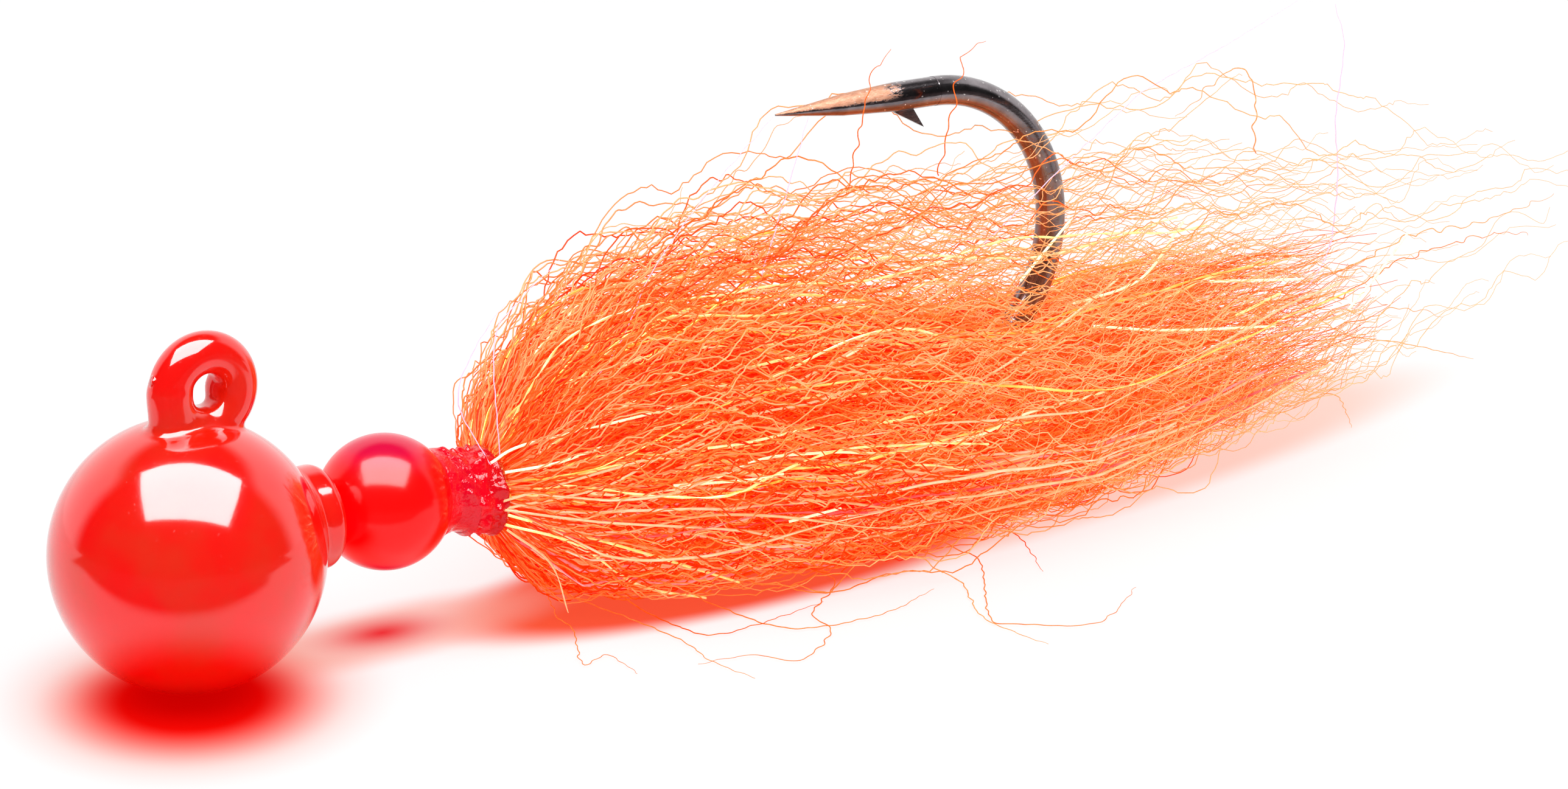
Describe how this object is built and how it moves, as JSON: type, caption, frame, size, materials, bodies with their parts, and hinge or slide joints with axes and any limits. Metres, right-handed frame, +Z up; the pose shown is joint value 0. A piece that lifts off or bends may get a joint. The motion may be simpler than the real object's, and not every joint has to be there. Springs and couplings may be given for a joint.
{
  "type": "jig head",
  "caption": "Painted ball jig head on an upturned barbed hook, with a translucent bead, a cemented thread tie and a long crinkled hair skirt with flash strands.",
  "frame": {"origin": "centre of the line eye, in the hook's plane", "axes": "+X along the hook's shank from the ball to the tail, +Z up from the shank to the hook's point, +Y along the line eye's hole"},
  "size_m": [0.0815, 0.0144, 0.021],
  "materials": {
    "hook": "black nickel, polished, worn to copper at the point",
    "lead_head": "cast lead, hidden under the paint",
    "head_paint": "glossy baked powder paint, bright red",
    "eye_paint": "glossy baked powder paint, bright red",
    "bead": "translucent crimson, polished",
    "bead_cement": "clear cement, glossy",
    "thread_base": "waxed tying thread",
    "hair_butts": "bound hair ends soaked with cement",
    "thread_wrap": "waxed tying thread, crimson",
    "head_cement": "glossy crimson cement over the thread",
    "hair_core": "crinkled hair, deep orange",
    "hair_upper": "crinkled hair, light orange",
    "hair_veil": "loose crinkled hair, light orange",
    "hair_side": "crinkled hair, orange",
    "hair_lower": "crinkled hair, red orange",
    "flash_gold": "metallic gold film",
    "flash_pearl": "pearl film",
    "flash_pink": "pink pearl film"
  },
  "bodies": {
    "root": {"hook": "hook", "lead_head": "lead_head", "head_paint": "head_paint", "eye_paint": "eye_paint", "bead": "bead", "bead_cement": "bead_cement", "thread_base": "thread_base", "hair_butts": "hair_butts", "thread_wrap": "thread_wrap", "head_cement": "head_cement", "hair_core": "hair_core", "hair_upper_near": "hair_upper", "hair_side_near": "hair_side", "hair_lower_near": "hair_lower", "hair_upper_far": "hair_upper", "hair_side_far": "hair_side", "hair_lower_far": "hair_lower", "hair_veil_near": "hair_veil", "hair_veil_far": "hair_veil", "flash_upper_near": "flash_gold", "flash_lower_near": "flash_pearl", "flash_bottom": "flash_pink", "flash_lower_far": "flash_pearl", "flash_upper_far": "flash_gold"}
  },
  "joints": []
}
